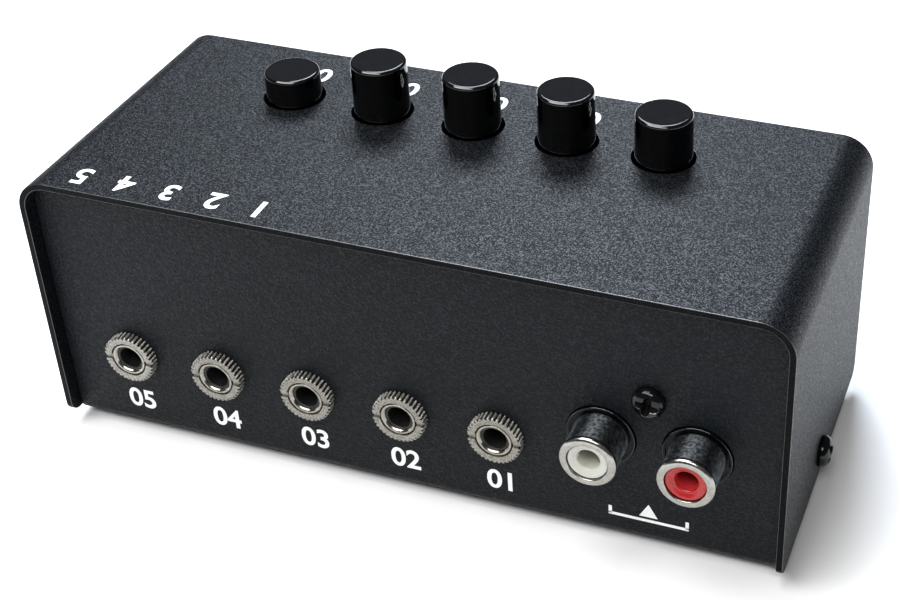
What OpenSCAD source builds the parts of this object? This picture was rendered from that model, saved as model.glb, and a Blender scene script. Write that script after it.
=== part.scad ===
/* [Case] */
// Width of the case over its cover
case_w = 116; // [116:1:130]
// Depth of the cover, front edge to rear edge
case_d = 49; // [49:1:60]
// Height from the underside of the chassis to the top of the cover
case_h = 44.4; // [44:0.2:50]
// Thickness of the cover's sheet
cover_t = 1; // [0.8:0.1:1.2]
// Outer radius of the cover's two bends
cover_bend_r = 5; // [3:0.5:8]
// How far the cover stands past each end panel
cover_lip = 2.2; // [1:0.1:3]
// Height of the cover's side edges above the underside of the chassis
side_gap = 0.8; // [0:0.1:2]
// Radius of the lower corners of the cover's sides
side_corner_r = 2; // [1:0.5:4]
// Thickness of the chassis sheet
chassis_t = 1; // [0.8:0.1:1.2]
// Outer radius of the folds between the floor and the end panels
fold_r = 1.6; // [1.4:0.1:3]
// Radius of the lower corners of the end panels
panel_corner_r = 1.2; // [0.5:0.1:2]
// Clearance between the chassis and the cover
case_slip = 0.2; // [0.1:0.05:0.4]

/* [Feet] */
// Diameter of a foot where it is stuck to the chassis
foot_d = 8; // [6:0.5:10]
// How much smaller a foot is at the surface it stands on
foot_taper = 0.8; // [0:0.2:1.6]
// Height of a foot
foot_h = 1.5; // [1:0.5:3]
// Distance of a foot's centre from the side of the case
foot_inset_x = 10; // [8:1:20]
// Distance of a foot's centre from the front or rear edge of the cover
foot_inset_y = 9.5; // [9:0.5:14]

/* [Screws] */
// Thread diameter of every screw
screw_d = 2.6; // [2:0.1:3]
// Diameter of a pan head
head_d = 4.9; // [4.4:0.1:5.5]
// Height of a pan head
head_h = 1.8; // [1.4:0.1:2.2]
// How far the top of a head is domed
head_crown = 0.7; // [0.3:0.1:1]
// Depth of the cross recess
recess_depth = 1.1; // [0.6:0.1:1.2]
// Length of the cross recess from tip to tip
recess_w = 2.8; // [2:0.1:3.2]
// Width of one slot of the cross recess
recess_slot = 0.8; // [0.5:0.1:1]
// Place of the side screws behind the middle of the case
side_screw_y = 1.5; // [-4:0.5:4]
// Height of the side screws above the underside of the chassis
side_screw_z = 5.5; // [4.5:0.5:8]
// Length of the side screws under the head
side_screw_l = 5; // [4:0.5:6]
// Length of the screws that hold the board
board_screw_l = 5.5; // [5:0.5:6]
// Length of the screw in the rear panel
rear_screw_l = 7; // [5:0.5:8]
// Width of the chassis tabs that take the side screws
tab_w = 12; // [8:1:16]
// Height of those tabs
tab_h = 10; // [9:0.5:14]

/* [Jacks] */
// Distance between neighbouring jacks
jack_pitch = 15; // [13:0.5:16]
// Place of the middle jack to the left of the case's centre, seen from the rear
jack_row_x = 15; // [14:0.5:16]
// Height of the jacks' axes above the underside of the chassis
jack_z = 13.9; // [13.5:0.1:16]
// Bore that the 3.5 mm plug goes into
jack_bore_d = 3.6; // [3.5:0.05:3.7]
// Width of the chamfer at the mouth of that bore
lead_in = 0.3; // [0.1:0.1:0.5]
// Outer diameter of the threaded bushing
bushing_d = 5.4; // [5:0.1:6]
// Bevel round the bushing's end
bushing_bevel = 0.15; // [0.1:0.05:0.3]
// How far the bushing is seated in the body
bushing_seat = 4; // [3:0.5:6]
// Diameter of the nut over its knurl
nut_d = 8.3; // [7.6:0.1:9]
// Thickness of the nut
nut_h = 1.5; // [1.2:0.1:2.2]
// How far the bushing's end lies below the nut's face
nut_proud = 0.1; // [0:0.1:0.4]
// Ridges round the nut
nut_ridges = 36; // [24:1:48]
// Depth of the knurl
knurl_depth = 0.22; // [0.1:0.02:0.4]
// Chamfer at the nut's bore
nut_chamfer = 0.25; // [0.1:0.05:0.4]
// Width of the two spanner slots in the nut's face
spanner_slot_w = 0.9; // [0.6:0.1:1.2]
// Depth of the spanner slots
spanner_slot_h = 0.5; // [0.3:0.1:0.8]
// Width of a jack's body
jack_w = 10; // [9:0.5:11]
// Length of a jack's body behind the rear panel
jack_l = 12.5; // [11:0.5:14]
// Height of a jack's axis above the board
jack_axis_h = 6; // [5.5:0.1:6.5]
// Thickness of a jack body's back wall
jack_back = 1.2; // [0.8:0.1:2]
// Width of a leaf contact
leaf_w = 1.8; // [1.4:0.1:1.8]
// Thickness of a leaf contact
leaf_t = 0.3; // [0.2:0.05:0.4]
// Distance between the two pins under a jack's body
jack_pin_pitch = 7; // [5:0.5:8]
// Distance of those pins from the rear panel
jack_pin_y = 5.5; // [4:0.5:8]

/* [Phono sockets] */
// Distance between the two phono sockets
phono_pitch = 14; // [13.5:0.5:16]
// Place of the pair to the right of the case's centre, seen from the rear
phono_row_x = 37.8; // [37:0.2:40]
// Height of their axes above the underside of the chassis
phono_z = 18.1; // [17:0.1:20]
// Outer diameter of a plated barrel
barrel_d = 8; // [7.8:0.1:8.2]
// Wall of a barrel
barrel_wall = 0.4; // [0.3:0.05:0.5]
// How far a barrel stands out of the rear panel
barrel_reach = 6.3; // [6:0.1:10]
// How far a barrel is seated behind the panel's face
barrel_seat = 3.5; // [3:0.5:5]
// Outer diameter of the rolled ring at a barrel's mouth
ring_d = 8.4; // [8.3:0.05:8.6]
// Inner diameter of that ring
mouth_d = 6; // [5.6:0.1:6.4]
// Length of the ring along the barrel
ring_l = 1; // [0.8:0.1:1.5]
// Rounding of the ring's front edges
ring_edge_r = 0.45; // [0.2:0.05:0.5]
// Diameter of the collars that fill the panel's two large holes
collar_d = 10.1; // [9.6:0.1:11]
// How far the collars stand out of the panel
collar_h = 0.4; // [0.2:0.1:1]
// Bore that the plug's centre pin goes into
pin_bore_d = 3.3; // [3.2:0.05:3.4]
// How far an insert's face lies behind the ring's front
insert_sink = 0.35; // [0.1:0.05:1]
// Width of the flat rim round an insert's face
insert_rim = 0.3; // [0.1:0.1:0.6]
// Depth of the dish in an insert's face
insert_dish = 0.5; // [0.2:0.1:1]
// Countersink at the mouth of the centre bore
insert_sunk = 0.5; // [0.2:0.1:0.6]
// Wall of the centre clip
clip_wall = 0.25; // [0.2:0.05:0.3]
// Distance of the clip's mouth in front of the panel's face
clip_reach = 1; // [0:0.5:2]
// Width of the slit in the clip
clip_slit = 0.4; // [0.2:0.1:0.6]
// Diameter of the clip's tail
tail_d = 2; // [1.6:0.1:2.4]
// Thickness of the strip that brings the tail down to the board
tail_strip_t = 0.8; // [0.5:0.1:0.8]
// Depth of the sockets' housing behind the panel
housing_l = 10; // [9:0.5:13]
// Wall of the housing outside the collars
housing_wall = 1.3; // [1:0.1:2]
// Wall of the housing round the rear screw's head
tower_wall = 1; // [0.8:0.1:1.5]
// Height of the rear screw above the sockets' axes
rear_screw_rise = 8; // [8:0.5:10]

/* [Buttons] */
// Distance between neighbouring buttons
button_pitch = 15; // [14:0.5:16]
// Place of the middle button from the case's centre, towards button 5
button_row_x = 0.4; // [-1:0.2:1]
// Place of the row in front of the middle of the case
button_row_y = 10.3; // [9:0.1:10.5]
// Diameter of a cap at its top
cap_top_d = 8.3; // [7.5:0.1:8.6]
// Diameter of a cap at its lower edge
cap_base_d = 8.7; // [8.6:0.1:9]
// Height of a cap
cap_h = 11; // [10.5:0.1:12]
// How far a released cap stands above the cover
cap_rise = 8.6; // [7:0.1:9]
// Radius of the edge round a cap's top
cap_edge_r = 0.8; // [0.4:0.1:1.2]
// Wall of a cap's skirt
cap_wall = 0.9; // [0.8:0.1:1]
// Thickness of a cap's top
cap_roof = 2; // [1.6:0.1:3]
// Diameter of the boss inside a cap
cap_boss_d = 5.5; // [5:0.1:5.8]
// Diameter of the holes in the cover
button_hole_d = 9.6; // [9.5:0.1:10.5]
// Full travel of a button
stroke = 5; // [4.5:0.1:5.5]
// Which button is latched down
latched_button = 5; // [1:1:5]
// How much further the cap of button 1 is pushed onto its plunger
cap_1_drop = 1.2; // [0:0.1:1.2]

/* [Switch bank] */
// Width of a switch body along the row
switch_w = 10; // [9:0.5:11]
// Depth of a switch body
switch_d = 9; // [8:0.5:10]
// Height of a switch body above the board
switch_h = 18.4; // [18:0.2:19]
// Thickness of a switch body's floor
switch_floor = 2; // [1:0.5:2.5]
// Thickness of a switch body's top, under which the plunger's stop lies
switch_roof = 2; // [1.5:0.5:2.5]
// Width of the snap ridges that hold a body in the frame
ridge_w = 3; // [2:0.5:5]
// Height of the snap ridges
ridge_h = 1.2; // [0.8:0.1:2]
// Distance of the snap ridges below the body's top
ridge_drop = 4; // [3:0.5:5]
// Thickness of the frame's steel
frame_t = 1; // [0.8:0.1:1.2]
// Depth of the frame's skirts below its top plate
skirt_h = 8; // [7:0.5:10]
// Length of the frame's feet on the board
frame_foot_l = 8; // [7:0.5:9]
// Width of a plunger's square rod
rod_w = 3.2; // [3:0.1:3.3]
// Diameter of the spring seat on a plunger
seat_d = 6.6; // [6.4:0.1:6.8]
// Thickness of the spring seat
seat_t = 0.8; // [0.6:0.1:1]
// How far a plunger's latch nub stands out
nub_reach = 0.7; // [0.5:0.05:0.8]
// Height of the latch nub
nub_h = 1.6; // [1.2:0.1:1.8]
// Width of the latch nub
nub_w = 1.2; // [0.8:0.1:1.4]
// How far a plunger's stop shoulder stands out
stop_reach = 0.8; // [0.5:0.1:1.2]
// Thickness of the stop shoulder
stop_t = 1.2; // [0.8:0.1:1.6]
// Thickness of the moving contact under a plunger
bridge_t = 0.4; // [0.2:0.1:0.5]
// Thickness of the sliding latch bar
bar_t = 0.8; // [0.6:0.1:1]
// Width of the latch bar
bar_w = 6.4; // [6:0.2:7]
// Travel of the latch bar
bar_travel = 1; // [0.8:0.1:1.2]
// Height of the latch bar above the switch bodies
bar_rise = 0.5; // [0.2:0.1:0.6]
// How far the latch bar stands out of the frame at each end
bar_overhang = 2.5; // [2:0.5:4]
// Gap between the latch bar and the nub of a latched plunger
latch_play = 0.35; // [0.1:0.05:0.5]
// Thickness of the latch spring's leaf
latch_leaf_t = 0.3; // [0.2:0.05:0.4]
// Length of each of the latch spring's three stretches
latch_leaf_l = 4; // [3:0.5:5]
// Turns of a return spring
spring_turns = 6; // [5:1:7]
// Wire of a return spring
spring_wire = 0.44; // [0.36:0.02:0.5]
// Mean diameter of a return spring
spring_d = 5.5; // [5.4:0.1:5.6]

/* [Board] */
// Thickness of the circuit board
board_t = 1.6; // [1.2:0.2:1.6]
// Gap between the board's edges and what stands beside them
board_gap = 0.8; // [0.5:0.1:1.5]
// Diameter of the four standoffs
standoff_d = 5.5; // [5:0.5:6.5]
// Distance of the rear standoffs from the sides of the case
rear_standoff_inset = 11; // [11:1:14]
// Place of the rear standoffs behind the middle of the case
rear_standoff_y = 4; // [2:0.5:5]
// Diameter of a drilled hole for a pin
pin_hole_d = 1.1; // [1:0.1:1.2]
// Width of a square pin
pin_w = 0.6; // [0.5:0.05:0.6]
// Distance between neighbouring pins of a switch
switch_pin_pitch = 2.5; // [2:0.5:3]
// How far a pin stands out below the board
pin_tail = 1.2; // [0.8:0.1:1.6]

/* [Hidden] */
// How far a cut runs past the face that it opens
cut = 0.5;
// Running clearance of sliding parts
run_gap = 0.15;
// Clearance between parts that only stand close together
near_gap = 0.2;
// Radial clearance of a thread, or of a piece that is pressed into another
thread_gap = 0.05;
// How much wider a drilled hole is than what passes through it
hole_gap = 0.3;
// Points on a coil's turn and sides of its wire
coil_steps = 8;
wire_sides = 6;

powder_black = "#313236";
jet_black = "#131314";
nickel = "#c6c4bc";
zinc = "#a9adb0";
board_green = "#2f6b45";
ivory = "#e9e4d6";
plug_white = "#e8e8e2";
plug_red = "#cf1f2b";
spring_steel = "#8d9196";
bronze = "#b08d57";
rubber_grey = "#26272a";

base_z = foot_h;
top_z = base_z + case_h;
inner_w = case_w - 2 * cover_t - 2 * case_slip;
panel_top_z = top_z - cover_t - case_slip;
// The origin is under the middle of the whole box, barrels included
case_y = -(barrel_reach - cover_lip) / 2;
rear_y = case_y + case_d / 2 - cover_lip;
front_y = case_y - case_d / 2 + cover_lip;
rear_inner_y = rear_y - chassis_t;
front_inner_y = front_y + chassis_t;
side_screw_at = [case_w / 2, case_y + side_screw_y, base_z + side_screw_z];

jack_axis_z = base_z + jack_z;
phono_axis_z = base_z + phono_z;
rear_screw_z = phono_axis_z + rear_screw_rise;
// The length of a leaf contact inside its body
leaf_l = jack_l - bushing_seat - jack_back;

board_top = jack_axis_z - jack_axis_h;
board_z = board_top - board_t;
board_w = case_w - 2 * (side_screw_l + board_gap);
board_d = rear_inner_y - front_inner_y - 2 * board_gap;
standoff_z = base_z + chassis_t;

// The bank, from the board up: bodies, latch bar, frame plate, springs, plungers, caps
row_y = case_y - button_row_y;
switch_top = board_top + switch_h;
ridge_z = switch_top - ridge_drop;
stop_z = switch_top - switch_roof - run_gap - stop_t;
well_floor = board_top + switch_floor;
bar_z = switch_top + bar_rise;
plate_z = bar_z + bar_t + run_gap;
plate_top = plate_z + frame_t;
nub_z = plate_top + near_gap;
latch_drop = nub_z + nub_h - bar_z + latch_play;
cap_z = top_z + cap_rise - cap_h;
seat_z = cap_z - cap_1_drop - near_gap - seat_t;
spring_l = seat_z - plate_top - 2 * run_gap;
rod_top = cap_z - cap_1_drop + cap_h - cap_roof - near_gap;
rod_bottom = well_floor + stroke + bridge_t + near_gap;
bank_l = 4 * button_pitch + switch_w + 2 * near_gap + 2 * frame_t;
bank_d = switch_d + 2 * frame_t;
bar_end = bank_l / 2 + bar_overhang;
front_standoff_x = (bank_l + frame_foot_l) / 2;

$fn = 48;

function jack_x(i) = jack_row_x + jack_pitch * (i - 3);
function button_x(i) = button_row_x + button_pitch * (i - 3);
function press(i) = i == latched_button ? latch_drop : 0;
function cap_drop(i) = i == 1 ? cap_1_drop : 0;
// Socket 0 is the white one, towards the jacks, and socket 1 is the red one
function phono_x(k) = -phono_row_x - (k - 0.5) * phono_pitch;

// Places of the standoffs: two under the feet of the switch frame, two behind
function standoff_at(k) = k < 2
    ? [button_row_x + (2 * k - 1) * front_standoff_x, row_y]
    : [(2 * k - 5) * (case_w / 2 - rear_standoff_inset), case_y + rear_standoff_y];
// Places of the pins that go through the board
function switch_pin_at(i, k) =
    [button_x(i) + (k % 3 - 1) * switch_pin_pitch, row_y + (k < 3 ? -1 : 1) * switch_pin_pitch];
function jack_pin_at(i, k) = k < 2
    ? [jack_x(i) + (k - 0.5) * jack_pin_pitch, rear_inner_y - jack_pin_y]
    : [jack_x(i), rear_inner_y - jack_l - leaf_t / 2];
function phono_pin_at(k, ground) = [phono_x(k), ground
    ? rear_y - barrel_seat + run_gap + pin_w / 2
    : rear_inner_y - housing_l - tail_strip_t / 2];

// Points along an arc
function arc(centre, r, from, to, steps) =
    [for (k = [0:steps]) let (a = from + (to - from) * k / steps) centre + r * [cos(a), sin(a)]];

// A box that stands on z = 0 with its middle at the origin
module block(w, d, h) {
    translate([-w / 2, -d / 2, 0]) cube([w, d, h]);
}

// A flat shape pushed along +Y from y0: its x stays x and its y becomes height
module along_y(y0, length) {
    translate([0, y0 + length, 0]) rotate([90, 0, 0]) linear_extrude(length) children();
}

// A flat shape pushed along +X from x0: its x becomes depth and its y becomes height
module along_x(x0, length) {
    translate([x0, 0, 0]) rotate([90, 0, 90]) linear_extrude(length) children();
}

// A round bar along +Y
module bar_y(x, y0, z, d, length) {
    translate([x, y0, z]) rotate([-90, 0, 0]) cylinder(d = d, h = length);
}

// Places a turned shape on the rear panel's face, its height pointing out of it
module out_of_panel(x, z) {
    translate([x, rear_y, z]) rotate([-90, 0, 0]) children();
}

// Outline of a sheet folded twice: a rectangle on y = 0 with round upper corners
module fold_outline(w, h, r) {
    translate([-w / 2, 0]) square([w, h - r]);
    translate([r - w / 2, 0]) square([w - 2 * r, h]);
    for (side = [-1, 1]) translate([side * (w / 2 - r), h - r]) circle(r);
}

// What is cut from a square corner at +x, +y to make it round
module corner_outline(r) {
    difference() {
        square(r + cut);
        circle(r);
    }
}

// A pan-head screw with its seat at z = 0 and its thread pointing down
module pan_screw(length) {
    dome_r = (head_d * head_d / 4 + head_crown * head_crown) / (2 * head_crown);
    difference() {
        intersection() {
            cylinder(d = head_d, h = head_h);
            translate([0, 0, head_h - dome_r]) sphere(r = dome_r, $fn = 96);
        }
        for (turn = [0, 90])
            rotate(turn) translate([0, 0, head_h - recess_depth]) block(recess_w, recess_slot, head_h);
    }
    translate([0, 0, -length]) cylinder(d = screw_d, h = length);
}

module top_cover() {
    cover_h = case_h - side_gap;
    color(powder_black) difference() {
        translate([0, 0, base_z + side_gap]) along_y(case_y - case_d / 2, case_d) difference() {
            fold_outline(case_w, cover_h, cover_bend_r);
            translate([0, -cut])
                fold_outline(case_w - 2 * cover_t, cover_h - cover_t + cut, cover_bend_r - cover_t);
        }
        for (end = [0, 1]) translate([0, case_y, 0]) mirror([0, end, 0])
            translate([0, case_d / 2 - side_corner_r, base_z + side_gap + side_corner_r])
            mirror([0, 0, 1]) along_x(-case_w, 2 * case_w) corner_outline(side_corner_r);
        for (i = [1:5]) translate([button_x(i), row_y, top_z - cover_t - cut])
            cylinder(d = button_hole_d, h = cover_t + 2 * cut);
        translate([-case_w, side_screw_at.y, side_screw_at.z]) rotate([0, 90, 0])
            cylinder(d = screw_d + hole_gap, h = 2 * case_w);
    }
}

module chassis() {
    panel_h = panel_top_z - base_z;
    depth = rear_y - front_y;
    corner_r = cover_bend_r - cover_t - case_slip;
    hole_y = rear_inner_y - cut;
    hole_l = chassis_t + 2 * cut;
    color(powder_black) difference() {
        union() {
            translate([0, case_y, panel_top_z]) mirror([0, 0, 1])
                along_x(-inner_w / 2, inner_w) difference() {
                    fold_outline(depth, panel_h, fold_r);
                    translate([0, -cut]) fold_outline(depth - 2 * chassis_t,
                        panel_h - chassis_t + cut, fold_r - chassis_t);
                }
            for (side = [-1, 1])
                translate([side * (inner_w - chassis_t) / 2, side_screw_at.y, base_z])
                    block(chassis_t, tab_w, tab_h);
        }
        for (side = [0, 1]) mirror([side, 0, 0]) {
            translate([inner_w / 2 - corner_r, 0, panel_top_z - corner_r])
                along_y(front_y - cut, depth + 2 * cut) corner_outline(corner_r);
            for (y0 = [front_y - cut, rear_y - fold_r])
                translate([inner_w / 2 - panel_corner_r, 0, base_z + panel_corner_r])
                    mirror([0, 0, 1]) along_y(y0, fold_r + cut) corner_outline(panel_corner_r);
        }
        translate([-case_w, side_screw_at.y, side_screw_at.z]) rotate([0, 90, 0])
            cylinder(d = screw_d + 2 * thread_gap, h = 2 * case_w);
        for (i = [1:5]) bar_y(jack_x(i), hole_y, jack_axis_z, bushing_d + hole_gap, hole_l);
        for (k = [0, 1]) bar_y(phono_x(k), hole_y, phono_axis_z, collar_d + hole_gap, hole_l);
        bar_y(-phono_row_x, hole_y, rear_screw_z, screw_d + hole_gap, hole_l);
    }
}

module rubber_feet() {
    color(rubber_grey) for (x = [-1, 1], y = [-1, 1])
        translate([x * (case_w / 2 - foot_inset_x), case_y + y * (case_d / 2 - foot_inset_y), 0])
            cylinder(d1 = foot_d - foot_taper, d2 = foot_d, h = foot_h);
}

module cover_screws() {
    color(jet_black) for (side = [0, 1]) mirror([side, 0, 0])
        translate(side_screw_at) rotate([0, 90, 0]) pan_screw(side_screw_l);
}

module board_standoffs() {
    height = board_z - standoff_z;
    color(zinc) for (k = [0:3]) translate([standoff_at(k).x, standoff_at(k).y, standoff_z])
        difference() {
            cylinder(d = standoff_d, h = height);
            translate([0, 0, -cut]) cylinder(d = screw_d + 2 * thread_gap, h = height + 2 * cut);
        }
}

// The two front screws pass through the feet of the switch frame too
module board_screws() {
    color(zinc) for (k = [0:3])
        translate([standoff_at(k).x, standoff_at(k).y, board_top + (k < 2 ? frame_t : 0)])
            pan_screw(board_screw_l);
}

module board_hole(at, d, fn) {
    translate([at.x, at.y, board_z - cut]) cylinder(d = d, h = board_t + 2 * cut, $fn = fn);
}

module main_board() {
    color(board_green) difference() {
        translate([0, (rear_inner_y + front_inner_y) / 2, board_z]) block(board_w, board_d, board_t);
        for (k = [0:3]) board_hole(standoff_at(k), screw_d + hole_gap, 48);
        for (i = [1:5], k = [0:5]) board_hole(switch_pin_at(i, k), pin_hole_d, 16);
        for (i = [1:5], k = [0:2]) board_hole(jack_pin_at(i, k), pin_hole_d, 16);
        for (k = [0, 1], ground = [false, true]) board_hole(phono_pin_at(k, ground), pin_hole_d, 16);
    }
}

// A square pin from below the board up to a height
module pin(at, top) {
    translate([at.x, at.y, board_z - pin_tail]) block(pin_w, pin_w, top - board_z + pin_tail);
}

module switch_pins() {
    color(nickel) for (i = [1:5], k = [0:5]) pin(switch_pin_at(i, k), board_top);
}

// The opening that a plunger and its nub pass through, with room added on the far side
module plunger_slot(room, height) {
    translate([-rod_w / 2 - run_gap - room, -rod_w / 2 - run_gap, 0])
        cube([rod_w + nub_reach + 2 * run_gap + room, rod_w + 2 * run_gap, height]);
}

module switch_body(i) {
    stop_room = stroke + stop_t + 2 * run_gap;
    color(jet_black) difference() {
        translate([button_x(i), row_y, 0]) {
            translate([0, 0, board_top]) block(switch_w, switch_d, switch_h);
            translate([0, 0, ridge_z]) block(ridge_w, bank_d, ridge_h);
        }
        translate([button_x(i), row_y, well_floor]) plunger_slot(0, switch_h);
        translate([button_x(i), row_y, switch_top - switch_roof - stop_room])
            plunger_slot(stop_reach, stop_room);
    }
}

module switch_frame() {
    leg_x = (bank_l - frame_t) / 2;
    foot_x = (bank_l + frame_foot_l - frame_t) / 2;
    color(zinc) translate([button_row_x, row_y, 0]) difference() {
        union() {
            translate([0, 0, plate_z]) block(bank_l, bank_d, frame_t);
            for (side = [-1, 1]) {
                translate([0, side * (bank_d - frame_t) / 2, plate_z - skirt_h])
                    block(bank_l, frame_t, skirt_h + frame_t);
                translate([side * leg_x, 0, board_top]) block(frame_t, bank_d, plate_top - board_top);
                translate([side * foot_x, 0, board_top]) block(frame_foot_l + frame_t, bank_d, frame_t);
            }
        }
        for (i = [1:5]) translate([button_pitch * (i - 3), 0, 0]) {
            translate([0, 0, plate_z - cut]) plunger_slot(0, frame_t + 2 * cut);
            translate([0, 0, ridge_z - near_gap])
                block(ridge_w + 2 * near_gap, bank_d + 2 * cut, ridge_h + 2 * near_gap);
        }
        for (side = [-1, 1]) {
            translate([side * leg_x, 0, bar_z - run_gap])
                block(frame_t + 2 * cut, bar_w + 2 * near_gap, bar_t + 2 * run_gap);
            translate([side * front_standoff_x, 0, board_top - cut])
                cylinder(d = screw_d + hole_gap, h = frame_t + 2 * cut);
        }
    }
}

module latch_bar() {
    color(zinc) translate([button_row_x, row_y, bar_z]) difference() {
        block(2 * bar_end, bar_w, bar_t);
        for (i = [1:5]) translate([button_pitch * (i - 3), 0, -cut])
            plunger_slot(bar_travel, bar_t + 2 * cut);
    }
}

// A cranked leaf on the frame's end; its blade stands clear of the bar by the bar's travel
module latch_spring() {
    pad_x = bank_l / 2;
    blade_x = bar_end + bar_travel + run_gap;
    blade_z = bar_z + (bar_t - latch_leaf_l) / 2;
    crank_z = blade_z - latch_leaf_l;
    width = bar_w - 2 * frame_t;
    color(spring_steel) translate([button_row_x, 0, 0]) along_y(row_y - width / 2, width) polygon([
        [pad_x, crank_z - latch_leaf_l], [pad_x + latch_leaf_t, crank_z - latch_leaf_l],
        [pad_x + latch_leaf_t, crank_z], [blade_x + latch_leaf_t, blade_z],
        [blade_x + latch_leaf_t, blade_z + latch_leaf_l], [blade_x, blade_z + latch_leaf_l],
        [blade_x, blade_z + latch_leaf_t], [pad_x, crank_z + latch_leaf_t]]);
}

module plunger(i) {
    stop_w = rod_w / 2 + stop_reach;
    nub_tip = rod_w / 2 + nub_reach;
    color(ivory) translate([button_x(i), row_y, -press(i)]) {
        translate([0, 0, rod_bottom]) block(rod_w, rod_w, rod_top - rod_bottom);
        translate([0, 0, seat_z]) cylinder(d = seat_d, h = seat_t);
        translate([-stop_w, -rod_w / 2, stop_z]) cube([stop_w, rod_w, stop_t]);
        translate([0, 0, nub_z]) along_y(-nub_w / 2, nub_w)
            polygon([[0, 0], [rod_w / 2, 0], [nub_tip, nub_h / 2], [nub_tip, nub_h], [0, nub_h]]);
    }
}

// A moving contact: a strip under the plunger with its two ends turned down
module contact_bridge(i) {
    strip_t = bridge_t / 2;
    color(bronze) translate([button_x(i), row_y, rod_bottom - press(i)]) {
        translate([0, 0, -strip_t]) block(rod_w, rod_w, strip_t);
        for (side = [-1, 1]) translate([side * (rod_w - strip_t) / 2, 0, -bridge_t])
            block(strip_t, rod_w, bridge_t);
    }
}

// Points along a spring's wire, and the least gap between its turns
function coil_points(length) = [for (k = [0:spring_turns * coil_steps])
    let (turn = 360 * k / coil_steps, rise = (length - spring_wire) / (spring_turns * coil_steps))
    [spring_d / 2 * cos(turn), spring_d / 2 * sin(turn), spring_wire / 2 + k * rise]];
function coil_gap(points) = min([for (a = [0:len(points) - 1 - coil_steps / 2])
    min([for (b = [a + coil_steps / 2:len(points) - 1]) norm(points[b] - points[a])])]) - spring_wire;

// One tube swept along those points
module coil_spring(length) {
    points = coil_points(length);
    last = len(points) - 1;
    rings = [for (k = [0:last], s = [0:wire_sides - 1])
        let (turn = 360 * k / coil_steps, a = 360 * s / wire_sides)
        points[k] + spring_wire / 2 * [cos(a) * cos(turn), cos(a) * sin(turn), sin(a)]];
    sides = [for (k = [0:last - 1], s = [0:wire_sides - 1])
        let (next = (s + 1) % wire_sides, a = k * wire_sides, b = a + wire_sides)
        each [[a + s, a + next, b + s], [a + next, b + next, b + s]]];
    ends = [for (s = [1:wire_sides - 2]) each [[0, s + 1, s],
        [last * wire_sides, last * wire_sides + s, last * wire_sides + s + 1]]];
    echo(str("least gap of a spring to itself, mm: ", coil_gap(points)));
    polyhedron(points = rings, faces = concat(sides, ends));
}

module return_spring(i) {
    color(spring_steel) translate([button_x(i), row_y, plate_top + run_gap])
        coil_spring(spring_l - press(i));
}

module button_cap(i) {
    socket_w = rod_w + 2 * thread_gap;
    hollow_h = cap_h - cap_roof + cut;
    color(jet_black)
        translate([button_x(i), row_y, cap_z - press(i) - cap_drop(i)]) difference() {
            rotate_extrude($fn = 96) polygon(concat([[0, 0], [cap_base_d / 2, 0]],
                arc([cap_top_d / 2 - cap_edge_r, cap_h - cap_edge_r], cap_edge_r, 0, 90, 6),
                [[0, cap_h]]));
            translate([0, 0, -cut]) difference() {
                cylinder(d = cap_base_d - 2 * cap_wall, h = hollow_h);
                cylinder(d = cap_boss_d, h = hollow_h);
            }
            translate([0, 0, -cut]) block(socket_w, socket_w, hollow_h);
        }
}

module jack_body(i) {
    back_y = rear_inner_y - jack_l;
    slot_w = leaf_w + 2 * thread_gap;
    slot_h = jack_bore_d / 2 + 2 * leaf_t + near_gap;
    color(jet_black) difference() {
        translate([jack_x(i), rear_inner_y - jack_l / 2, board_top])
            block(jack_w, jack_l, jack_axis_h + jack_w / 2);
        bar_y(jack_x(i), back_y + jack_back, jack_axis_z, jack_bore_d, jack_l);
        bar_y(jack_x(i), rear_inner_y - bushing_seat, jack_axis_z, bushing_d + 2 * thread_gap, jack_l);
        translate([jack_x(i) - slot_w / 2, back_y - cut, jack_axis_z])
            cube([slot_w, leaf_l + near_gap + cut, slot_h]);
    }
}

module jack_bushing(i) {
    back = chassis_t + bushing_seat;
    front = nut_h - nut_proud;
    color(nickel) out_of_panel(jack_x(i), jack_axis_z) difference() {
        union() {
            translate([0, 0, -back]) cylinder(d = bushing_d, h = back + front - bushing_bevel);
            translate([0, 0, front - bushing_bevel])
                cylinder(d1 = bushing_d, d2 = bushing_d - 2 * bushing_bevel, h = bushing_bevel);
        }
        translate([0, 0, -back - cut]) cylinder(d = jack_bore_d, h = back + front + 2 * cut);
        translate([0, 0, front - lead_in])
            cylinder(d1 = jack_bore_d, d2 = jack_bore_d + 2 * (lead_in + cut), h = lead_in + cut);
    }
}

module jack_nut(i) {
    tip_r = nut_d / 2;
    root_r = tip_r - knurl_depth;
    bore_d = bushing_d + 2 * thread_gap;
    color(nickel) out_of_panel(jack_x(i), jack_axis_z) difference() {
        linear_extrude(nut_h) polygon([for (k = [0:2 * nut_ridges - 1])
            let (a = 180 * k / nut_ridges) (k % 2 == 0 ? tip_r : root_r) * [cos(a), sin(a)]]);
        translate([0, 0, -cut]) cylinder(d = bore_d, h = nut_h + 2 * cut);
        translate([0, 0, nut_h - nut_chamfer])
            cylinder(d1 = bore_d, d2 = bore_d + 2 * (nut_chamfer + cut), h = nut_chamfer + cut);
        translate([0, 0, nut_h - spanner_slot_h]) block(nut_d + 2 * cut, spanner_slot_w, nut_h);
    }
}

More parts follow.
